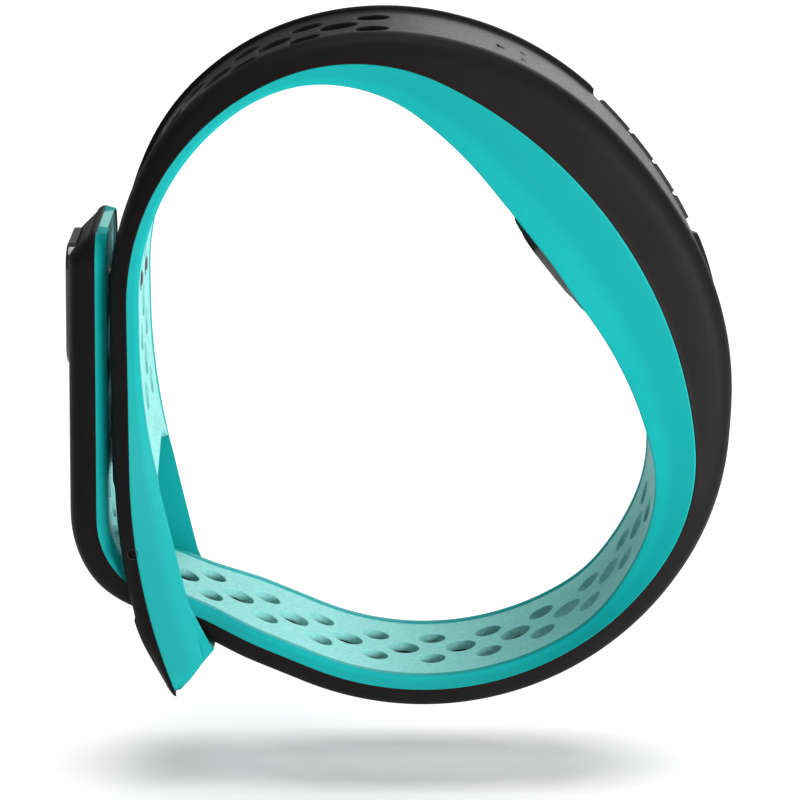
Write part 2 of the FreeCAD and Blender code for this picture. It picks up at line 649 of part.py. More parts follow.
barrierInside = coreBox(*boxAbout(
    sensorPlace, 0, size("lensSeat") - 1, insideSpan, insideSpan, barrierHeight + 2))
feature("light_barrier", barrier.cut(barrierInside))

# ---------------------------------------------------------------- charging contacts
contacts = []
for index in (-1, 0, 1):
    y = index * size("contactPitch")
    face = size("contactFace")
    stem = Part.makeCylinder(size("contactRadius"), coreFloor - face, vec(size("contactPlace"), y, face))
    flangeThickness = size("contactFlangeThickness")
    flange = Part.makeCylinder(size("contactFlange"), flangeThickness,
                               vec(size("contactPlace"), y, coreFloor - flangeThickness))
    contacts.append(stem.fuse(flange))
contactShape = Part.makeCompound(contacts)
contactShape.Placement = corePlacement
feature("charging_contacts", contactShape)

# ---------------------------------------------------------------- side button and its switches
doc.recompute()
buttonEnds = (size("buttonPlace") - size("buttonLength") / 2, size("buttonPlace") + size("buttonLength") / 2)
buttonFloor = size("buttonFloor")
gap = size("buttonGap")
beyondEdge = size("bandWidth") / 2 + 1
overSkin = size("outerThickness") + size("coreOuterRise") + 3
switchBoxes = []
for hand in (-1, 1):
    place = size("buttonPlace") + hand * size("switchSpacing") / 2
    switchBoxes.append(((place - size("switchLength") / 2, place + size("switchLength") / 2),
                        (halfCoreWide, halfCoreWide + size("switchDepth")),
                        (buttonFloor, buttonFloor + size("switchHeight"))))
switches = placedBoxes(switchBoxes)
feature("button_switches", switches)
skinReach = size("buttonLength") + size("buttonPlace") + 3
upperSkin = outerLayer(upper, 0, skinReach)
lowerSkin = outerLayer(lower, 0, skinReach)
coreOutward = corePlacement.Rotation.multVec(vec(0, 0, 1))
lowered = upperSkin.fuse(lowerSkin)
lowered.translate(coreOutward * -size("buttonDrop"))
button = lowered.common(coreBox(
    (buttonEnds[0] + gap, buttonEnds[1] - gap), (size("buttonInnerFace"), beyondEdge), (buttonFloor, overSkin)))
grip = []
for index in (-1, 0, 1):
    x = size("buttonPlace") + size("grooveShift") + index * size("groovePitch")
    spot, outward = seam(upper if x < 0 else lower, abs(x))
    crest = outerOffset(upper if x < 0 else lower, abs(x)) - size("buttonDrop") - size("grooveDepth")
    cutter = Part.makeBox(
        size("grooveWidth"), size("grooveReach") + 1, 3, vec(-size("grooveWidth") / 2, -1, 0))
    turn = math.degrees(math.atan2(outward.x, outward.z))
    cutter.Placement = FreeCAD.Placement(
        vec(spot.x, size("buttonInnerFace"), spot.z) + outward * crest, FreeCAD.Rotation(vec(0, 1, 0), turn))
    grip.append(cutter)
feature("side_button", button.cut(grip))
buttonPocket = coreBox(buttonEnds, (halfCoreWide + size("switchDepth"), beyondEdge),
                       (buttonFloor - size("buttonFloorGap"), overSkin))

# ---------------------------------------------------------------- clasp: plate, pegs and anchor in the tail
tailSpot, tailOut = seam(lower, tailBegin)
tailAxis = (seam(lower, tailEnd)[0] - tailSpot).normalize()
tailFrame = FreeCAD.Placement(tailSpot, FreeCAD.Rotation(tailAxis, vec(0, 1, 0), tailOut, "XYZ"))
pegDistance = size("upperFirstPair") + size("pegPairIndex") * size("holePitch")
pegSeam, pegOut = seam(upper, pegDistance)
pegAlong = (pegSeam - tailSpot).dot(tailAxis)
tailTop = size("outerThickness") + size("tailRise") + size("plateProud")
plateFloor = tailTop - size("plateThickness")


def inTail(shape):
    shape.Placement = tailFrame.multiply(shape.Placement)
    return shape


def roundedPlate(begin, length, width, floor, height, radius):
    plate = Part.makeBox(length, width, height, vec(begin, -width / 2, floor))
    upright = [edge for edge in plate.Edges if abs(edge.tangentAt(edge.FirstParameter).z) > 0.9]
    return plate.makeFillet(radius, upright)


plateArgs = (size("plateStart"), size("plateLength"), size("plateWidth"))
plate = roundedPlate(*plateArgs, plateFloor, size("plateThickness"), size("plateRadius"))
topEdges = [edge for edge in plate.Edges if edge.BoundBox.ZMin > tailTop - 0.01]
plate = plate.makeFillet(size("plateEdgeRadius"), topEdges)
anchorLength = 2 * (size("pegRadius") + size("anchorMargin"))
anchorWidth = 2 * (size("holeRowOffset") + size("pegRadius") + size("anchorMargin"))
anchor = roundedPlate(pegAlong - anchorLength / 2, anchorLength, anchorWidth,
                      0, size("anchorThickness"), size("anchorRadius"))
pegReach = -((pegSeam - tailSpot).dot(tailOut)) + innerOffset(upper, pegDistance) + size("pegProud")
pegs = []
pegBores = []
for hand in (-1, 1):
    y = hand * size("holeRowOffset")
    radius = size("pegRadius")
    peg = Part.makeCylinder(radius, pegReach + plateFloor, vec(pegAlong, y, -pegReach))
    tip = [edge for edge in peg.Edges if edge.BoundBox.ZMax < -pegReach + 0.01]
    pegs.append(peg.makeFillet(size("pegTipRound"), tip))
    pegBores.append(Part.makeCylinder(radius + size("claspClearance"), pegReach + plateFloor,
                                      vec(pegAlong, y, -pegReach)))
boreTool = Part.makeCompound(pegBores)
feature("clasp_plate", plate, tailFrame)
feature("clasp_pegs", Part.makeCompound(pegs), tailFrame)
feature("clasp_anchor", anchor.cut(pegBores), tailFrame)

# ---------------------------------------------------------------- status lights on the outer panel
statusSpot, statusOut = seam(upper, size("statusDistance"))
statusFrame = FreeCAD.Placement(statusSpot, FreeCAD.Rotation(vec(0, 1, 0), math.degrees(
    math.atan2(statusOut.x, statusOut.z))))
statusFloor = outerOffset(upper, size("statusDistance")) - size("panelDepth") - size("lensDepth")
statusCorner = 0.49 * size("statusWidth")
statusLens = roundedPlate(-size("statusLength") / 2, size("statusLength"), size("statusWidth"),
                          statusFloor, size("lensDepth"), statusCorner)
feature("status_lens", statusLens, statusFrame)
dotSpot, dotOut = seam(upper, size("dotDistance"))
dotFloor = outerOffset(upper, size("dotDistance")) - size("panelDepth") - size("lensDepth")
dots = []
for hand in (-1, 1):
    base = vec(dotSpot.x, hand * size("dotSpacing") / 2, dotSpot.z) + dotOut * dotFloor
    dots.append(Part.makeCylinder(size("dotRadius"), size("lensDepth"), base, dotOut))
feature("indicator_lenses", Part.makeCompound(dots))

# ---------------------------------------------------------------- buckle end: window, end slope and pin
pinSeam, pinOut = seam(upper, size("pinDistance"))
pinMiddle = pinSeam + pinOut * size("pinOffset")
acrossAll = 1.5 * size("bandWidth")
windowHalf = size("tailWidth") / 2 + size("windowClearance")
tongueSpot, tongueOut = seam(lower, foldBegin)
tongueAlong = (tongueSpot - seam(lower, foldBegin - 5)[0]).normalize()
barLine = tongueSpot + tongueOut * (size("outerThickness") + size("barClearance"))
windowLow = [barLine - tongueAlong * 20, barLine + tongueAlong * 12]
windowTop = size("windowTopZ")
windowOutline = [
    windowLow[0], windowLow[1], vec(windowLow[1].x, 0, windowTop), vec(windowLow[0].x, 0, windowTop),
    windowLow[0],
]
windowFace = Part.Face(Part.makePolygon([vec(p.x, -windowHalf, p.z) for p in windowOutline]))
window = windowFace.extrude(vec(0, 2 * windowHalf, 0))
upperCorners = [edge for edge in window.Edges
                if edge.BoundBox.ZMin > windowTop - 0.01 and edge.BoundBox.YLength < 0.01]
window = window.makeFillet(size("windowCornerRadius"), upperCorners)
endSeam, endOut = seam(upper, upperEnd)
endAlong = (endSeam - seam(upper, upperEnd - 0.1)[0]).normalize()
endDepth = innerOffset(upper, upperEnd)
slopeStart = endSeam - endOut * (2 * endDepth) - endAlong * (2 * size("tipCut"))
slopeOutline = [endSeam, slopeStart, slopeStart + endAlong * 30, endSeam + endAlong * 30]
slopeFace = Part.Face(Part.makePolygon(
    [vec(p.x, -acrossAll / 2, p.z) for p in slopeOutline + slopeOutline[:1]]))
slope = slopeFace.extrude(vec(0, acrossAll, 0))
pinHole = Part.makeCylinder(
    size("pinHoleRadius"), acrossAll, vec(pinMiddle.x, -acrossAll / 2, pinMiddle.z), vec(0, 1, 0))
pinEnd = vec(pinMiddle.x, -size("bandWidth") / 2 + size("pinRecess"), pinMiddle.z)
primitive(
    "Part::Cylinder", "loop_pin", FreeCAD.Placement(pinEnd, lyingAcross),
    Radius="Sizes.pinHoleRadius - Sizes.pinClearance", Height="Sizes.bandWidth - 2 * Sizes.pinRecess",
)

# ---------------------------------------------------------------- the two silicone layers
foldCut = foldBegin + size("foldSeamRadius") * math.radians(size("foldCutAngle"))
halfGap = size("jointGap") / 2
upperHoles = perforations(upper, size("upperFirstPair"), size("upperPairCount"))
lowerHoles = perforations(lower, size("lowerFirstPair"), size("lowerPairCount"))
coreSolid = envelope.Shape
partsInside = [coreSolid, switches, buttonPocket]
lights = [part.Shape for part in doc.Objects if part.Label in ("status_lens", "indicator_lenses")]
contactSolids = doc.getObject("charging_contacts").Shape

upperOuter = outerLayer(upper, 0, upperEnd).cut(
    upperHoles + [panelCutter(upper, 0, upperEnd - size("buckleTipLength") - 1), window, slope, pinHole])
lowerOuter = outerLayer(lower, 0, foldCut - halfGap).cut(
    lowerHoles + [panelCutter(lower, 0, foldCut)])
bandOuter = upperOuter.fuse(lowerOuter).cut(partsInside + lights)
feature("band_outer", bandOuter)

upperInner = innerLayer(upper, 0, upperEnd).cut(upperHoles + [window, slope, pinHole])
lowerInner = innerLayer(lower, 0, foldCut - halfGap).cut(lowerHoles)
sensorFit = size("sensorFit")
sensorRoomLength = size("sensorLength") + 2 * sensorFit
sensorRoomWidth = size("sensorWidth") + 2 * sensorFit
sensorRoom = roundedPlate(sensorPlace - sensorRoomLength / 2, sensorRoomLength, sensorRoomWidth,
                          -12, 12 + coreFloor, sensorRoomWidth / 2 - 0.001)
sensorRoom.Placement = corePlacement
bandInner = upperInner.fuse(lowerInner).cut([coreSolid, sensorRoom, contactSolids])
feature("band_inner", bandInner)

foldSpan = (foldCut + halfGap, tailBegin - halfGap)
tailSpan = (tailBegin + halfGap, tailEnd)
panelEnd = tailEnd - size("tailTipLength") - 0.5
anchorRoom = inTail(anchor.copy())
plateRoom = inTail(roundedPlate(*plateArgs, plateFloor, 3, size("plateRadius")))
boreRoom = inTail(boreTool)
feature("fold_outer", outerLayer(lower, *foldSpan).cut(lowerHoles + [panelCutter(lower, *foldSpan)]))
feature("fold_inner", innerLayer(lower, *foldSpan).cut(lowerHoles))
tailOuter = outerLayer(lower, *tailSpan).cut(lowerHoles + [panelCutter(lower, tailSpan[0], panelEnd)])
feature("tail_outer", tailOuter.cut([plateRoom, anchorRoom, boreRoom]))
feature("tail_inner", innerLayer(lower, *tailSpan).cut(lowerHoles + [boreRoom]))

doc.recompute()

# ---------------------------------------------------------------- checks and files
NODES = [
    "band_outer", "band_inner", "loop_pin", "core_base", "core_cover", "core_seal", "battery", "main_board",
    "board_chips", "antenna", "board_screws", "display_board", "display_leds", "light_mask", "display_ribbon",
    "motor_can", "motor_bush", "motor_shaft", "motor_weight", "sensor_base", "sensor_window", "sensor_board",
    "sensor_leds", "photodiode", "light_barrier", "charging_contacts", "button_switches", "side_button",
    "status_lens", "indicator_lenses", "fold_outer", "fold_inner", "tail_outer", "tail_inner",
    "clasp_plate", "clasp_pegs", "clasp_anchor",
]
for item in doc.Objects:
    if "Invalid" in item.State or "Error" in item.State:
        raise RuntimeError("%s failed: %s" % (item.Label, item.State))
os.makedirs("parts", exist_ok=True)
for node in NODES:
    part = doc.getObjectsByLabel(node)[0]
    if part.Shape.isNull() or not part.Shape.isValid():
        raise RuntimeError("%s has no valid shape" % node)
    part.Shape.exportStep("parts/%s.step" % node)
    box = part.Shape.BoundBox
    print("%-18s %2d solids %9.2f mm3  x %.2f %.2f  y %.2f %.2f  z %.2f %.2f" % (
        node, len(part.Shape.Solids), part.Shape.Volume,
        box.XMin, box.XMax, box.YMin, box.YMax, box.ZMin, box.ZMax))
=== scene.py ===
import bmesh
import bpy
import math
from mathutils import Matrix, Vector
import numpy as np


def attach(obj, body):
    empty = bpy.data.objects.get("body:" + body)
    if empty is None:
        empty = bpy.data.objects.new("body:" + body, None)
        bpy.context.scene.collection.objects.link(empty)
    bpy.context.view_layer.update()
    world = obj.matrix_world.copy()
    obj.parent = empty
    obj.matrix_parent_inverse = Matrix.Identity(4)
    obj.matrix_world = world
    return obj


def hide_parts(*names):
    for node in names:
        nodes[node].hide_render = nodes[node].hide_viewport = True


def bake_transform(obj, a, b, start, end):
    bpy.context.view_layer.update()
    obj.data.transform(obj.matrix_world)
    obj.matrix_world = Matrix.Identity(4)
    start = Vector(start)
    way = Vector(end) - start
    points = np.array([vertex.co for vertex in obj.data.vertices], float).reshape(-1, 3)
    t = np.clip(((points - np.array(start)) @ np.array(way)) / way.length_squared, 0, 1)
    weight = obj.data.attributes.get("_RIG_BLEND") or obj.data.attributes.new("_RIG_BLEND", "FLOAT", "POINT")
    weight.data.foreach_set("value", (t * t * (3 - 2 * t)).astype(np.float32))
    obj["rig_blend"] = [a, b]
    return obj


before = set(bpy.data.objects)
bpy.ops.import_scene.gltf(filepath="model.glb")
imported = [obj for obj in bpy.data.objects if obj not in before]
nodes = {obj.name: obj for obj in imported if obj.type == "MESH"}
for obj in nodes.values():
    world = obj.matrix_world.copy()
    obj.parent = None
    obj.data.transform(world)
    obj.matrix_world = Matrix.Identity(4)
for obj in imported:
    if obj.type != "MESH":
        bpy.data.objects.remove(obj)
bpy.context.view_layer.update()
mm = 0.001

# ---- the line between the two silicones, as runs of (radius, turn) from the middle of the core
route = {
    "start": (19.7, 16.6),
    "heading": 128.0,
    "upperRuns": [(44.5, 26.0), (19.0, 50.0), (24.5, 66.0), (0, 16.7), (63.0, 21.5)],
    "lowerRuns": [(44.5, -32.5), (19.3, -37.0), (28.0, -81.5), (0, 17.4), (8.6, -67.7), (0, 28.6)],
}


def step(point, heading, bend, distance):
    turned = heading + bend * distance
    if abs(bend) < 1e-9:
        return (point[0] + math.cos(heading) * distance, point[1] + math.sin(heading) * distance), turned
    moved = ((math.sin(turned) - math.sin(heading)) / bend, (math.cos(heading) - math.cos(turned)) / bend)
    return (point[0] + moved[0], point[1] + moved[1]), turned


def chainRuns(runs, heading):
    point = route["start"]
    placed = []
    begun = 0.0
    for radius, amount in runs:
        turn = math.radians(amount) if radius else 0.0
        length = abs(radius * turn) if radius else amount
        placed.append((begun, length, point, heading, turn / length))
        point, heading = step(point, heading, turn / length, length)
        begun += length
    return placed


upperChain = chainRuns(route["upperRuns"], math.radians(route["heading"]))
lowerChain = chainRuns(route["lowerRuns"], math.radians(route["heading"] + 180))
upperEnd = upperChain[-1][0] + upperChain[-1][1]
tailEnd = lowerChain[-1][0] + lowerChain[-1][1]
foldBegin = lowerChain[4][0]


def seamAt(t):
    # t runs from the buckle end (negative) past the core (0) to the tail's tip
    # gives the spot in the plane of the loop, and the way out from the wrist
    side = lowerChain if t >= 0 else upperChain
    for begun, length, point, heading, bend in side:
        if abs(t) <= begun + length + 1e-9:
            break
    spot, turned = step(point, heading, bend, abs(t) - begun)
    sign = -1 if t >= 0 else 1
    return spot, (sign * math.sin(turned), -sign * math.cos(turned))


def lift(t, y, height):
    spot, out = seamAt(t)
    return Vector((spot[0] + out[0] * height, y, spot[1] + out[1] * height))


def ramp(value, full, none, rounding):
    share = min(1.0, max(0.0, (value - none) / (full - none)))
    scale = 2.0 * rounding * (1.0 - rounding)
    if share < rounding:
        return share * share / scale
    if share > 1.0 - rounding:
        return 1.0 - (1.0 - share) ** 2 / scale
    return (share - rounding / 2.0) / (1.0 - rounding)


# ---- the band's section
strap = {
    "halfWidth": 10.0, "tailHalf": 8.4, "narrowFrom": 83.0, "narrowTo": 90.5,
    "outerThick": 2.3, "innerThick": 1.1, "coreOuterRise": 3.5, "coreInnerRise": 6.05, "buckleRise": 2.85,
    "sideRelief": 0.45, "panelDeep": 0.5, "innerPanelDeep": 0.12, "tailPanelEnd": 130.4, "barPanelEnd": 100.8,
    "tailRise": 0.5, "tailRiseLength": 5.0, "tipLength": 2.8, "tipThinning": 0.75,
    "endLength": 8, "endThick": 0.75, "tailCorner": 3.5, "tailCornerInset": 2.2, "panelStep": 0.4,
    "firstUpper": 27.5, "upperPairs": 9, "firstLower": 35.3, "lowerPairs": 14, "pitch": 6.0,
    "sideHole": 1.45, "middleHole": 1.7, "sideRow": 3.14, "tileEdge": 4.85, "tileRows": 6,
    "holeRing": 0.27, "holeRound": 0.13, "panelInset": 3.3,
    "plainFirst": 2.3, "waveMiddle": 1.7, "waveReach": 0.6,
}
# each ramp is full at its first distance and none at its second; the last number is its rounded share
ramps = {
    "upperOuter": (5, 36, 0.5), "upperRelief": (45, 60, 0.5), "lowerOuter": (6, 39, 0.5),
    "upperInner": (0, 42, 0.25), "buckle": (96, 68, 0.5), "lowerInner": (4, 50, 0.1),
}
# the rounded shoulder of the black side, squarer over the core
shoulder = {
    "inset": 2.7, "width": 2.65, "power": 2.1, "corePower": 1.1,
    "lip": 0.3, "lipShare": 0.3, "coreTurn": 6,
}
window = {
    "half": 8.7, "top": 83.1, "archTop": 79.4, "tileEnd": 78.5, "barSeam": 97.9, "barOuter": 97.0,
    "barClear": 0.3, "tipCut": 2.2, "corner": 84.3, "blunt": 0.94, "column": 11,
    "cornerBack": 0.3, "cornerOuter": 8.45, "cornerInner": 8.05,
}
window["faceEnd"] = upperEnd - window["tipCut"]
pocket = {"from": -5.9, "to": 9.1, "wall": 0.04, "floor": 1.6, "bendRadius": 44.5}
columnCount = 17


def outerHeight(t):
    d = abs(t)
    if t < 0:
        height = strap["outerThick"] + strap["coreOuterRise"] * ramp(d, *ramps["upperOuter"])
        height -= strap["sideRelief"] * (1 - ramp(d, *ramps["upperRelief"]))
        tip = 1 - ramp(d, upperEnd - strap["endLength"], upperEnd, 0.3)
        return height + (strap["endThick"] - height) * tip
    height = strap["outerThick"] + strap["coreOuterRise"] * ramp(d, *ramps["lowerOuter"])
    height += strap["tailRise"] * ramp(d, foldBegin + strap["tailRiseLength"], foldBegin, 0.3)
    return height * (1 - strap["tipThinning"] * ramp(d, tailEnd, tailEnd - strap["tipLength"], 0.2))


def innerDepth(t):
    if t < 0:
        return (strap["innerThick"] + strap["coreInnerRise"] * ramp(-t, *ramps["upperInner"])
                + strap["buckleRise"] * ramp(-t, *ramps["buckle"]))
    return strap["innerThick"] + strap["coreInnerRise"] * ramp(t, *ramps["lowerInner"])


def halfWidthAt(t):
    if t < 0:
        return strap["halfWidth"]
    wide = strap["halfWidth"] - strap["tailHalf"]
    width = strap["tailHalf"] + wide * ramp(t, strap["narrowFrom"], strap["narrowTo"], 0.3)
    reach = min(1.0, max(0.0, t - (tailEnd - strap["tailCorner"])) / strap["tailCorner"])
    return width - strap["tailCornerInset"] * (1 - math.sqrt(1 - reach * reach))


def panelShare(t):
    # 1 where the outer panel is sunk, 0 past its ends
    if t < 0:
        return ramp(-t, strap["barPanelEnd"] - strap["panelStep"], strap["barPanelEnd"], 0.2)
    return ramp(t, strap["tailPanelEnd"] - strap["panelStep"], strap["tailPanelEnd"], 0.2)


def shoulderAt(angle, high, power):
    # the point of the shoulder's curve at an angle up from the band's edge
    across = math.cos(math.radians(angle)) ** power
    return shoulder["inset"] - shoulder["width"] * across, high * math.sin(math.radians(angle)) ** power


def shoulderOver(inset, high, power):
    # the height of the same curve over an inset
    share = max(0.0, shoulder["inset"] - inset) / shoulder["width"]
    return high * (1 - share ** (2 / power)) ** (power / 2)


def outerSection(t, column, hand):
    # (inset from the band's edge, height over the seam) of the black side's columns
    high = outerHeight(t)
    sunk = strap["panelDeep"] * panelShare(t)
    full = min(1.0, max(0.0, (high - strap["outerThick"]) / strap["coreOuterRise"]))
    power = 2.0 / (shoulder["power"] + shoulder["corePower"] * full)
    floor = pocket["floor"] + t * t / (2 * pocket["bendRadius"])
    inPocket = hand > 0 and pocket["from"] - 0.01 < t < pocket["to"] + 0.01
    if inPocket and column >= 7:  # the side button's pocket
        columns = {
            7: (3.13, high - sunk - 0.04), 8: (3.12, floor - 0.15), 9: (3.0, floor - 0.4),
            10: (2.1, floor - 0.15), 11: (1.3, floor), 12: (0.7, floor), 13: (0.3, floor - 0.04),
            14: (0.16, floor - 0.25), 15: (0.1, 0.3), 16: (0.0, 0.2), 17: (0.0, 0.04),
        }
        return columns[column]
    low = min(shoulder["lip"], shoulder["lipShare"] * high)
    turn = shoulder["coreTurn"] * full
    columns = {
        5: (0, high - sunk), 6: (3.3, high - sunk), 7: (3.12, high - 0.88 * sunk),
        8: (3.05, high - 0.14 * sunk), 9: (2.8, high), 10: (2.1, shoulderOver(2.1, high, power)),
        11: (1.3, shoulderOver(1.3, high, power)), 12: shoulderAt(50 - turn, high, power),
        13: shoulderAt(35 - turn, high, power), 14: (0.12, low + 0.14), 15: (0.1, low),
        16: (0.0, low - 0.1), 17: (0.0, 0.04),
    }
    return columns[column]


def innerSection(t, column, hand):
    # (inset, depth under the seam) of the teal side's columns
    deep = innerDepth(t)
    sunk = strap["innerPanelDeep"]
    if column >= 13:  # the sloping side
        share = {13: 0.955, 14: 0.75, 15: 0.5, 16: 0.22}.get(column)
        return (1.2 * share, deep * share) if share else (0.0, 0.03)
    columns = {
        5: (0, deep - sunk), 6: (3.0, deep - sunk), 7: (2.2, deep - sunk), 8: (2.1, deep - 0.8 * sunk),
        9: (2.02, deep - 0.1 * sunk), 10: (1.85, deep), 11: (1.3, deep), 12: (1.2, deep - 0.03),
    }
    return columns[column]


# insets of the same columns along the seam between the two sides
lowInsets = {
    5: 0, 6: 3.3, 7: 3.12, 8: 3.05, 9: 2.8, 10: 2.1, 11: 1.3,
    12: 1.05, 13: 0.8, 14: 0.6, 15: 0.4, 16: 0.2, 17: 0.0,
}


def firstColumn(t):
    # the line between the side holes and the middle holes waves so that both have room
    side = "Upper" if t < 0 else "Lower"
    first = strap["first" + side]
    pairs = strap[side.lower() + "Pairs"]
    half = strap["pitch"] / 2
    if not first - half < abs(t) < first + strap["pitch"] * (pairs - 1) + half:
        return strap["plainFirst"]
    wave = math.cos(2 * math.pi * (abs(t) - first) / strap["pitch"])
    return strap["waveMiddle"] - strap["waveReach"] * wave


def acrossAt(t, column, section, top):
    # distance across the band of a column at t
    number = abs(column)
    hand = 1 if column > 0 else -1
    edge = halfWidthAt(t) - strap["panelInset"]
    squeeze = min(1.0, (edge - 0.2) / strap["tileEdge"])
    first = firstColumn(t)
    if number <= 4:
        share = (0, 0, 1 / 3, 2 / 3, 1)[number]
        flat = 0 if number == 0 else first + (strap["tileEdge"] - first) * share
        return hand * flat * squeeze
    if number == 5:
        return hand * (strap["tileEdge"] * squeeze + edge) / 2
    inset = section(t, number, hand)[0] if top else lowInsets[number]
    return hand * (halfWidthAt(t) - inset)


rowStops = {
    "pinFar": 90.9, "pinNear": 88.9, "upper": 24.5, "lower": 32.3,
    "tail": 116.3, "tipNear": 0.9, "tipFar": 0.2,
}
rowRuns = [  # (from, to, how many rows)
    (-upperEnd, -window["barSeam"], 5),
    (-window["barSeam"], -rowStops["pinFar"], 6),
    (-rowStops["pinFar"], -rowStops["pinNear"], 2),
    (-rowStops["pinNear"], -window["corner"], 4),
    (-window["corner"], -window["top"], 1),
    (-window["top"], -window["tileEnd"], 4),
    (-window["tileEnd"], -rowStops["upper"], 54),
    (-rowStops["upper"], pocket["from"] - pocket["wall"], 18),
    (pocket["from"] - pocket["wall"], pocket["from"], 1),
    (pocket["from"], pocket["to"], 14),
    (pocket["to"], pocket["to"] + pocket["wall"], 1),
    (pocket["to"] + pocket["wall"], rowStops["lower"], 22),
    (rowStops["lower"], rowStops["tail"], 84),
    (rowStops["tail"], strap["tailPanelEnd"] - strap["panelStep"], 14),
    (strap["tailPanelEnd"] - strap["panelStep"], strap["tailPanelEnd"], 1),
    (strap["tailPanelEnd"], tailEnd - rowStops["tipNear"], 6),
    (tailEnd - rowStops["tipNear"], tailEnd - rowStops["tipFar"], 3),
    (tailEnd - rowStops["tipFar"], tailEnd, 2),
]
rows = []
for begin, end, count in rowRuns:
    rows += [begin + (end - begin) * i / count for i in range(count)]
rows.append(tailEnd)


def crossing(spot, way, other, otherWay):
    # where two lines meet in the plane of the loop
    across = way[0] * otherWay[1] - way[1] * otherWay[0]
    reach = ((other[0] - spot[0]) * otherWay[1] - (other[1] - spot[1]) * otherWay[0]) / across
    return spot[0] + way[0] * reach, spot[1] + way[1] * reach


# the bar under the window is a wedge: the strap runs over one face and the end slope is the other
barSpot, barOut = seamAt(foldBegin)
overBar = strap["outerThick"] + window["barClear"]
barSpot = (barSpot[0] + barOut[0] * overBar, barSpot[1] + barOut[1] * overBar)
tipSpot, tipOut = seamAt(-upperEnd)
endDeep = strap["innerThick"] + strap["buckleRise"]
tipBack = (tipOut[1] * window["tipCut"], -tipOut[0] * window["tipCut"])
slopeWay = (tipBack[0] - tipOut[0] * endDeep, tipBack[1] - tipOut[1] * endDeep)
apex = crossing(barSpot, (-barOut[1], barOut[0]), tipSpot, slopeWay)
print("bar apex", [round(value, 2) for value in apex])


def rowNear(t):
    return min(range(len(rows)), key=lambda i: abs(rows[i] - t))


def punchHole(bm, faces, middle, radius):
    # two rings drawn in from the tile's edge, set on circles, and the faces inside them taken out
    for reach in (radius + strap["holeRing"], radius):
        bmesh.ops.inset_region(bm, faces=faces, thickness=0.05, use_boundary=True, use_even_offset=True)
        inside = set(faces)
        rimEdges = [e for f in faces for e in f.edges if sum(g in inside for g in e.link_faces) == 1]
        rim = {v for e in rimEdges for v in e.verts}
        angleOf = lambda v: math.atan2(v.co.y - middle[1], v.co.x - middle[0])
        ordered = sorted(rim, key=angleOf)
        turn = 2 * math.pi / len(ordered)
        first = sum(angleOf(v) - i * turn for i, v in enumerate(ordered)) / len(ordered)
        for i, v in enumerate(ordered):
            v.co.x = middle[0] + reach * math.cos(first + i * turn)
            v.co.y = middle[1] + reach * math.sin(first + i * turn)
    bmesh.ops.delete(bm, geom=faces, context="FACES")


def flatStrap(section):
    # the whole band laid out flat: x along the seam, y across, with its holes and its buckle window
    bm = bmesh.new()
    along = len(rows) - 1
    bmesh.ops.create_grid(bm, x_segments=along, y_segments=2 * columnCount, size=1.0)
    bm.verts.layers.int.new("column")
    for name in ("along", "panel", "lip"):
        bm.verts.layers.float.new(name)
    columnLayer = bm.verts.layers.int["column"]
    for v in bm.verts:
        row = round((v.co.x + 1) / 2 * along)
        column = round((v.co.y + 1) / 2 * 2 * columnCount) - columnCount
        v[columnLayer] = column
        v.co = (rows[row], acrossAt(rows[row], column, section, True), 0)
    bm.faces.ensure_lookup_table()
    cells = {}
    for face in bm.faces:
        row = rowNear(min(v.co.x for v in face.verts))
        column = min(v[columnLayer] for v in face.verts)
        cells[row, column] = face
    half = strap["pitch"] / 2
    tileRows = strap["tileRows"]
    holeRuns = [(-1, strap["firstUpper"], strap["upperPairs"]), (1, strap["firstLower"], strap["lowerPairs"])]
    for sign, first, pairs in holeRuns:
        for index in range(pairs):
            t = sign * (first + index * strap["pitch"])
            begin = rowNear(t - half)
            for hand, columns in ((-1, range(-4, -1)), (1, range(1, 4))):
                tile = [cells[begin + i, j] for i in range(tileRows) for j in columns]
                punchHole(bm, tile, (t, hand * strap["sideRow"]), strap["sideHole"])
            if index < pairs - 1:
                t += sign * half
                begin = rowNear(t - half)
                tile = [cells[begin + i, j] for i in range(tileRows) for j in (-1, 0)]
                punchHole(bm, tile, (t, 0), strap["middleHole"])
    begin, end = rowNear(-window["barSeam"]), rowNear(-window["top"])
    openColumns = range(-window["column"], window["column"])
    opening = [cells[i, j] for i in range(begin, end) for j in openColumns]
    bmesh.ops.delete(bm, geom=opening, context="FACES")
    return bm, columnLayer


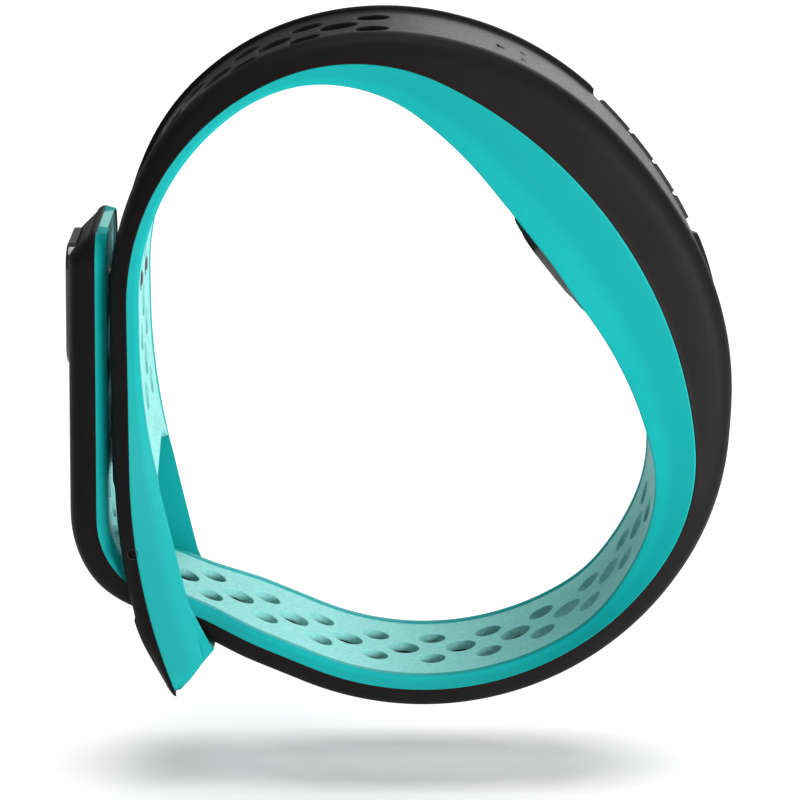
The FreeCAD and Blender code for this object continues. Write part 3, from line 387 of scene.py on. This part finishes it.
def bendStrap(bm, columnLayer, section, sign):
    # thickens the flat strap and sets every point at its place on the bent band
    # sign is 1 for the black side and -1 for the teal side
    raised = bmesh.ops.extrude_face_region(bm, geom=bm.faces[:])
    topVerts = [item for item in raised["geom"] if isinstance(item, bmesh.types.BMVert)]
    alongLayer, panelLayer, lipLayer = (bm.verts.layers.float[name] for name in ("along", "panel", "lip"))
    tops = set(topVerts)
    for v in bm.verts:
        t, y = v.co.x, v.co.y
        column = v[columnLayer]
        number = abs(column)
        hand = 1 if column > 0 else -1
        top = v in tops
        v[alongLayer] = t
        onPanel = 1.0 if number <= (6 if sign > 0 else 7) else 0.0
        v[panelLayer] = onPanel * (panelShare(t) if sign > 0 else 1.0)
        v[lipLayer] = 1.0 if top and number >= 15 else 0.0
        if not top:
            if number >= 6:
                y = hand * (halfWidthAt(t) - lowInsets[number])
            height = 0.0
        elif number <= 5:
            height = section(t, 5, hand)[1]
        else:
            height = section(t, number, hand)[1]
        inWindow = number <= window["column"]
        atTop = abs(t + window["top"]) < 0.01
        if atTop and number == window["column"]:  # these two points round the window's upper corners
            t -= window["cornerBack"]
            y = hand * window["cornerOuter"]
        if atTop and number == window["column"] - 1:
            y = hand * window["cornerInner"]
        if top and sign < 0 and -window["top"] - 0.5 <= t < -window["tileEnd"] and inWindow:
            arch = window["top"] - (window["top"] - window["archTop"]) * (1 - abs(y) / window["half"])
            share = (-t - window["tileEnd"]) / (window["top"] - window["tileEnd"])
            t = -(window["tileEnd"] + (arch - window["tileEnd"]) * share)
        if top and t < -window["barSeam"] + 0.01:
            share = (-t - window["barSeam"]) / (upperEnd - window["barSeam"])
            if sign > 0 and inWindow:
                t = -(window["barOuter"] + (upperEnd - window["barOuter"]) * share)
                height = outerHeight(t) - strap["panelDeep"] * panelShare(t) * (number <= 7)
            if sign < 0 and inWindow:
                x = apex[0] + (tipSpot[0] - apex[0]) * share * window["blunt"]
                z = apex[1] + (tipSpot[1] - apex[1]) * share * window["blunt"]
                v.co = Vector((x, y, z)) * mm
                continue
            if sign < 0:
                t = -(window["barSeam"] + (window["faceEnd"] - window["barSeam"]) * share)
                height = section(t, number, hand)[1]
        v.co = lift(t, y, sign * height) * mm
    rim = []
    for edge in bm.edges:
        if len(edge.link_faces) == 2 and all(v in tops for v in edge.verts):
            lowFaces = [f for f in edge.link_faces if not all(v in tops for v in f.verts)]
            atEnd = max(v[alongLayer] for v in edge.verts) < 0.1 - upperEnd
            farthest = max(abs(v[columnLayer]) for v in edge.verts)
            if len(lowFaces) == 1 and not atEnd and farthest <= window["column"]:
                rim.append(edge)
    bmesh.ops.recalc_face_normals(bm, faces=bm.faces[:])
    bmesh.ops.bevel(bm, geom=rim, offset=strap["holeRound"] * mm, segments=2, profile=0.5, affect="EDGES",
                    material=-1, clamp_overlap=True)
    return bm


def smoothMesh(bm, name, levels=1):
    mesh = bpy.data.meshes.new(name)
    bm.to_mesh(mesh)
    bm.free()
    whole = bpy.data.objects.new(name, mesh)
    bpy.context.scene.collection.objects.link(whole)
    subdivide = whole.modifiers.new("smooth", "SUBSURF")
    subdivide.levels = levels
    subdivide.render_levels = levels
    result = bpy.data.meshes.new_from_object(whole.evaluated_get(bpy.context.evaluated_depsgraph_get()))
    bpy.data.objects.remove(whole)
    bpy.data.meshes.remove(mesh)
    return result


def cutPiece(whole, name, begin, end):
    # the part of a finished skin between two distances along the band, with the whole skin's shading
    bm = bmesh.new()
    bm.from_mesh(whole)
    shading = bm.verts.layers.float_vector.new("shading")
    for v, normal in zip(bm.verts, whole.vertex_normals):
        v[shading] = normal.vector
    along = bm.verts.layers.float["along"]
    outside = [f for f in bm.faces if not begin < sum(v[along] for v in f.verts) / len(f.verts) < end]
    bmesh.ops.delete(bm, geom=outside, context="FACES")
    edges = [e for e in bm.edges if e.is_boundary]
    if edges:
        bmesh.ops.holes_fill(bm, edges=edges, sides=0)
    for face in bm.faces:
        face.smooth = True
    kept = [v[shading].copy() for v in bm.verts]
    mesh = bpy.data.meshes.new(name)
    bm.to_mesh(mesh)
    bm.free()
    mesh.normals_split_custom_set_from_vertices(kept)
    piece = bpy.data.objects.new(name, mesh)
    bpy.context.scene.collection.objects.link(piece)
    return piece


cuts = {"fold": 92.3, "tail": 104.3}
skins = {}
for label, section, sign in (("outer", outerSection, 1), ("inner", innerSection, -1)):
    flat, columns = flatStrap(section)
    whole = smoothMesh(bendStrap(flat, columns, section, sign), label + "Whole")
    skins[label, "loop"] = cutPiece(whole, label + "_loop", -math.inf, cuts["fold"])
    skins[label, "fold"] = cutPiece(whole, label + "_fold", cuts["fold"], cuts["tail"])
    skins[label, "tail"] = cutPiece(whole, label + "_tail", cuts["tail"], math.inf)
    bpy.data.meshes.remove(whole)
    print("strap side:", label, [len(skins[label, part].data.polygons) for part in ("loop", "fold", "tail")])

for label in ("outer", "inner"):
    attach(skins[label, "loop"], "band")
    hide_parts("band_" + label)
    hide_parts("fold_" + label)
    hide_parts("tail_" + label)
    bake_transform(skins[label, "fold"], "band", "strap_fold",
             start=lift(92.5, 0, 0) * mm, end=lift(102.0, 0, 0) * mm)
    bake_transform(skins[label, "tail"], "strap_fold", "strap_tail",
             start=lift(104.5, 0, 0) * mm, end=lift(109.0, 0, 0) * mm)


# ---- the rolled pin through the buckle end, open at both ends
rolledPin = {
    "along": -89.9, "height": 0.35, "radius": 0.55, "bore": 0.5,
    "half": 10.005, "deep": 1.2, "round": 0.04, "sides": 40,
}
bm = bmesh.new()
bmesh.ops.create_cone(bm, cap_ends=True, segments=rolledPin["sides"], radius1=rolledPin["radius"] * mm,
                      radius2=rolledPin["radius"] * mm, depth=2 * rolledPin["half"] * mm)
caps = [f for f in bm.faces if len(f.verts) > 4]
bmesh.ops.inset_region(bm, faces=caps, thickness=(rolledPin["radius"] - rolledPin["bore"]) * mm)
for cap in caps:
    side = 1 if cap.normal.z > 0 else -1
    sunk = bmesh.ops.extrude_discrete_faces(bm, faces=[cap])["faces"][0]
    bmesh.ops.translate(bm, verts=sunk.verts[:], vec=(0, 0, -side * rolledPin["deep"] * mm))
rims = [e for e in bm.edges if e.is_valid and abs(abs(e.verts[0].co.z) - rolledPin["half"] * mm) < 1e-7
        and abs(e.verts[0].co.z - e.verts[1].co.z) < 1e-7 and len(e.link_faces) == 2
        and abs(e.calc_face_angle(0)) > 0.5]
bmesh.ops.bevel(bm, geom=rims, offset=rolledPin["round"] * mm, segments=2, profile=0.5, affect="EDGES",
                material=-1)
bmesh.ops.rotate(bm, verts=bm.verts[:], cent=(0, 0, 0), matrix=Matrix.Rotation(math.radians(90), 3, "X"))
bmesh.ops.translate(bm, verts=bm.verts[:], vec=lift(rolledPin["along"], 0, rolledPin["height"]) * mm)
pinMesh = bpy.data.meshes.new("rolled_pin")
bm.to_mesh(pinMesh)
bm.free()
pinMesh.shade_smooth()
pinPiece = bpy.data.objects.new("rolled_pin", pinMesh)
bpy.context.scene.collection.objects.link(pinPiece)
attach(pinPiece, "band")
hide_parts("loop_pin")


# ---- materials
def newMaterial(name):
    material = bpy.data.materials.new(name)
    material.use_nodes = True
    tree = material.node_tree
    shader = tree.nodes["Principled BSDF"]
    return material, tree, shader


def link(tree, out, into):
    tree.links.new(out, into)


def noiseNode(tree, scale, detail=4.0, roughness=0.55):
    coords = tree.nodes.new("ShaderNodeTexCoord")
    noise = tree.nodes.new("ShaderNodeTexNoise")
    noise.inputs["Scale"].default_value = scale
    noise.inputs["Detail"].default_value = detail
    noise.inputs["Roughness"].default_value = roughness
    link(tree, coords.outputs["Object"], noise.inputs["Vector"])
    return noise


def rampNode(tree, source, stops):
    node = tree.nodes.new("ShaderNodeValToRGB")
    elements = node.color_ramp.elements
    while len(elements) < len(stops):
        elements.new(0.5)
    for element, (place, colour) in zip(elements, stops):
        element.position = place
        element.color = (*colour, 1.0)
    link(tree, source, node.inputs["Fac"])
    return node


def rangeNode(tree, source, low, high, fromLow=0.3, fromHigh=0.7):
    node = tree.nodes.new("ShaderNodeMapRange")
    node.inputs["From Min"].default_value = fromLow
    node.inputs["From Max"].default_value = fromHigh
    node.inputs["To Min"].default_value = low
    node.inputs["To Max"].default_value = high
    link(tree, source, node.inputs["Value"])
    return node


def mixColour(tree, factor, one, two):
    node = tree.nodes.new("ShaderNodeMix")
    node.data_type = "RGBA"
    link(tree, factor, node.inputs["Factor"])
    for socket, value in ((node.inputs["A"], one), (node.inputs["B"], two)):
        if isinstance(value, tuple):
            socket.default_value = (*value, 1.0)
        else:
            link(tree, value, socket)
    return node.outputs["Result"]


def mixNumber(tree, factor, one, two):
    node = tree.nodes.new("ShaderNodeMix")
    link(tree, factor, node.inputs["Factor"])
    for socket, value in ((node.inputs["A"], one), (node.inputs["B"], two)):
        if isinstance(value, (int, float)):
            socket.default_value = value
        else:
            link(tree, value, socket)
    return node.outputs["Result"]


def bumpNode(tree, height, strength, distance, before=None):
    node = tree.nodes.new("ShaderNodeBump")
    node.inputs["Strength"].default_value = strength
    node.inputs["Distance"].default_value = distance
    link(tree, height, node.inputs["Height"])
    if before:
        link(tree, before.outputs["Normal"], node.inputs["Normal"])
    return node


def attributeNode(tree, name):
    node = tree.nodes.new("ShaderNodeAttribute")
    node.attribute_name = name
    return node.outputs["Fac"]


def siliconeMaterial(name, smoothTones, panelTones, lipTone, smoothRough, panelRough, grain):
    # two tones of soft silicone: smooth sides and rims, and a grained panel between the rims
    material, tree, shader = newMaterial(name)
    broad = noiseNode(tree, 90.0, 3.0)
    fine = noiseNode(tree, 5200.0, 2.0, 0.6)
    speck = noiseNode(tree, 2600.0, 3.0, 0.7)
    panel = attributeNode(tree, "panel")
    lip = attributeNode(tree, "lip")
    smoothColour = rampNode(tree, broad.outputs["Fac"], [(0.3, smoothTones[0]), (0.7, smoothTones[1])])
    panelColour = rampNode(tree, speck.outputs["Fac"], [(0.32, panelTones[0]), (0.68, panelTones[1])])
    colour = mixColour(tree, panel, smoothColour.outputs["Color"], panelColour.outputs["Color"])
    colour = mixColour(tree, lip, colour, lipTone)
    link(tree, colour, shader.inputs["Base Color"])
    smoothRange = rangeNode(tree, fine.outputs["Fac"], *smoothRough)
    panelRange = rangeNode(tree, speck.outputs["Fac"], *panelRough)
    rough = mixNumber(tree, panel, smoothRange.outputs["Result"], panelRange.outputs["Result"])
    link(tree, rough, shader.inputs["Roughness"])
    depth = mixNumber(tree, panel, 0.12, 1.0)
    scaled = tree.nodes.new("ShaderNodeMath")
    scaled.operation = "MULTIPLY"
    link(tree, speck.outputs["Fac"], scaled.inputs[0])
    link(tree, depth, scaled.inputs[1])
    coarse = bumpNode(tree, scaled.outputs["Value"], grain, 0.00006)
    final = bumpNode(tree, fine.outputs["Fac"], 0.12, 0.00002, coarse)
    link(tree, final.outputs["Normal"], shader.inputs["Normal"])
    return material, shader


blackSilicone, shader = siliconeMaterial(
    "black_silicone",
    smoothTones=((0.0045, 0.0045, 0.0048), (0.0062, 0.0061, 0.0062)),
    panelTones=((0.012, 0.0122, 0.0126), (0.026, 0.026, 0.0266)),
    lipTone=(0.007, 0.004, 0.0036), smoothRough=(0.50, 0.60), panelRough=(0.42, 0.56), grain=0.5)
shader.inputs["Specular IOR Level"].default_value = 0.06
tealSilicone, shader = siliconeMaterial(
    "teal_silicone",
    smoothTones=((0.0012, 0.245, 0.242), (0.002, 0.265, 0.262)),
    panelTones=((0.15, 0.46, 0.44), (0.25, 0.56, 0.54)),
    lipTone=(0.0012, 0.22, 0.217), smoothRough=(0.50, 0.58), panelRough=(0.55, 0.66), grain=0.5)
shader.inputs["Subsurface Weight"].default_value = 0.08
shader.inputs["Subsurface Radius"].default_value = (0.0006, 0.0016, 0.0016)
shader.inputs["Subsurface Scale"].default_value = 0.5
shader.inputs["Specular IOR Level"].default_value = 0.1

silicones = [("outer", blackSilicone, "black_silicone"), ("inner", tealSilicone, "teal_silicone")]
for label, material, slotName in silicones:
    for part in ("loop", "fold", "tail"):
        skins[label, part].data.materials.append(material)


def plainFinish(name, tones, rough, scale=900.0, bump=0.1, metallic=0.0, coat=0.0, specular=0.5):
    material, tree, shader = newMaterial(name)
    noise = noiseNode(tree, scale)
    colour = rampNode(tree, noise.outputs["Fac"], [(0.3, tones[0]), (0.7, tones[1])])
    link(tree, colour.outputs["Color"], shader.inputs["Base Color"])
    spread = rangeNode(tree, noise.outputs["Fac"], *rough)
    link(tree, spread.outputs["Result"], shader.inputs["Roughness"])
    grain = bumpNode(tree, noise.outputs["Fac"], bump, 0.00004)
    link(tree, grain.outputs["Normal"], shader.inputs["Normal"])
    shader.inputs["Metallic"].default_value = metallic
    shader.inputs["Coat Weight"].default_value = coat
    shader.inputs["Coat Roughness"].default_value = 0.04
    shader.inputs["Specular IOR Level"].default_value = specular
    return material


finishLooks = {
    "gloss_black": {"tones": ((0.003, 0.003, 0.0035), (0.006, 0.006, 0.0065)),
                    "rough": (0.10, 0.16), "scale": 500, "bump": 0.02, "coat": 0.6},
    "button_black": {"tones": ((0.010, 0.010, 0.0105), (0.017, 0.017, 0.0175)),
                     "rough": (0.42, 0.52), "scale": 2600, "bump": 0.25, "specular": 0.25},
    "black_plastic": {"tones": ((0.008, 0.008, 0.009), (0.016, 0.016, 0.017)),
                      "rough": (0.38, 0.5), "scale": 2200, "bump": 0.2},
    "sensor_window": {"tones": ((0.002, 0.002, 0.0025), (0.004, 0.004, 0.005)),
                      "rough": (0.05, 0.09), "scale": 400, "bump": 0.01, "coat": 0.8},
    "steel": {"tones": ((0.42, 0.42, 0.43), (0.6, 0.6, 0.61)),
              "rough": (0.24, 0.36), "scale": 3000, "bump": 0.08, "metallic": 1.0},
    "board_green": {"tones": ((0.004, 0.06, 0.02), (0.01, 0.11, 0.04)),
                    "rough": (0.35, 0.5), "scale": 1500, "bump": 0.15, "coat": 0.2},
    "chip_black": {"tones": ((0.01, 0.01, 0.011), (0.02, 0.02, 0.022)),
                   "rough": (0.45, 0.6), "scale": 2500, "bump": 0.2},
    "battery_foil": {"tones": ((0.45, 0.46, 0.48), (0.62, 0.63, 0.65)),
                     "rough": (0.3, 0.42), "scale": 350, "bump": 0.3, "metallic": 0.7},
    "led": {"tones": ((0.75, 0.72, 0.5), (0.9, 0.88, 0.7)),
            "rough": (0.2, 0.3), "scale": 1500, "bump": 0.05},
    "gold": {"tones": ((0.75, 0.5, 0.18), (0.9, 0.65, 0.28)),
             "rough": (0.18, 0.3), "scale": 2600, "bump": 0.06, "metallic": 1.0},
    "seal_rubber": {"tones": ((0.02, 0.02, 0.02), (0.03, 0.03, 0.03)),
                    "rough": (0.6, 0.7), "scale": 2000, "bump": 0.2},
    "ribbon": {"tones": ((0.45, 0.2, 0.04), (0.6, 0.3, 0.08)),
               "rough": (0.3, 0.4), "scale": 1200, "bump": 0.1},
    "smoke_lens": {"tones": ((0.001, 0.001, 0.0012), (0.002, 0.002, 0.0022)),
                   "rough": (0.5, 0.6), "scale": 700, "bump": 0.02, "specular": 0.05},
}
finishes = {name: plainFinish(name, **look) for name, look in finishLooks.items()}
pinMesh.materials.append(finishes["chip_black"])
for name, node in nodes.items():
    if name in ("band_outer", "band_inner", "fold_outer", "fold_inner", "tail_outer", "tail_inner"):
        continue
    old = node.data.materials[0].name if node.data.materials else ""
    key = old.split(".")[0]
    if name == "side_button":
        key = "button_black"
    if key not in finishes:
        print("no finish named", key, "for", name)
        key = "black_plastic"
    for index in range(len(node.data.materials)):
        node.data.materials[index] = finishes[key]
print("finishes set on", len(nodes), "nodes")

# ---- the stage
stage = {"floorHeight": -42.8, "floorSize": 4000.0}
bm = bmesh.new()
bmesh.ops.create_grid(bm, x_segments=1, y_segments=1, size=stage["floorSize"] * mm)
bmesh.ops.translate(bm, verts=bm.verts[:], vec=(0, 0, stage["floorHeight"] * mm))
floorMesh = bpy.data.meshes.new("floor")
bm.to_mesh(floorMesh)
bm.free()
floor = bpy.data.objects.new("floor", floorMesh)
bpy.context.scene.collection.objects.link(floor)
paper, tree, shader = newMaterial("paper")
tone = noiseNode(tree, 3.0, 2.0)
shade = rampNode(tree, tone.outputs["Fac"], [(0.3, (0.86, 0.86, 0.86)), (0.7, (0.88, 0.88, 0.88))])
link(tree, shade.outputs["Color"], shader.inputs["Base Color"])
shader.inputs["Roughness"].default_value = 0.9
shader.inputs["Specular IOR Level"].default_value = 0.0
shader.inputs["Emission Color"].default_value = (1, 1, 1, 1)
shader.inputs["Emission Strength"].default_value = 0.04
floorMesh.materials.append(paper)

world = bpy.data.worlds.new("studio")
bpy.context.scene.world = world
world.use_nodes = True
world.node_tree.nodes["Background"].inputs["Color"].default_value = (1, 1, 1, 1)
world.node_tree.nodes["Background"].inputs["Strength"].default_value = 0.2
bpy.context.scene.view_settings.view_transform = "Standard"


def areaLight(name, place, target, size, power):
    data = bpy.data.lights.new(name, "AREA")
    data.shape = "RECTANGLE"
    data.size, data.size_y = size
    data.energy = power
    lamp = bpy.data.objects.new(name, data)
    lamp.location = place
    lamp.rotation_euler = (Vector(target) - Vector(place)).to_track_quat("-Z", "Y").to_euler()
    bpy.context.scene.collection.objects.link(lamp)


overhead = {"power": 2.9, "spread": 50, "tilt": (-3, 2)}  # angles in degrees
sunData = bpy.data.lights.new("overhead", "SUN")
sunData.energy = overhead["power"]
sunData.angle = math.radians(overhead["spread"])
sun = bpy.data.objects.new("overhead", sunData)
sun.rotation_euler = (math.radians(overhead["tilt"][0]), math.radians(overhead["tilt"][1]), 0)
bpy.context.scene.collection.objects.link(sun)
areaLight("rightFront", (0.15, -0.17, 0.01), (0.01, 0, 0), (0.1, 0.1), 0.8)
areaLight("backFill", (0.3, 0.9, 0.3), (0, 0, 0), (0.6, 0.6), 4.0)
print("stage and lights set")

view = {"aim": (0.0, 0.0, -0.0047), "far": 0.4, "up": 15.07, "round": 0.49, "lens": 180.0}
up, around = math.radians(view["up"]), math.radians(view["round"])
back = Vector((math.sin(around) * math.cos(up), -math.cos(around) * math.cos(up), math.sin(up)))
cameraData = bpy.data.cameras.new("camera")
cameraData.lens = view["lens"]
cameraData.sensor_width = 36.0
cameraData.clip_start = 0.01
camera = bpy.data.objects.new("camera", cameraData)
camera.location = Vector(view["aim"]) + back * view["far"]
camera.rotation_euler = (-back).to_track_quat("-Z", "Y").to_euler()
bpy.context.scene.collection.objects.link(camera)
bpy.context.scene.camera = camera
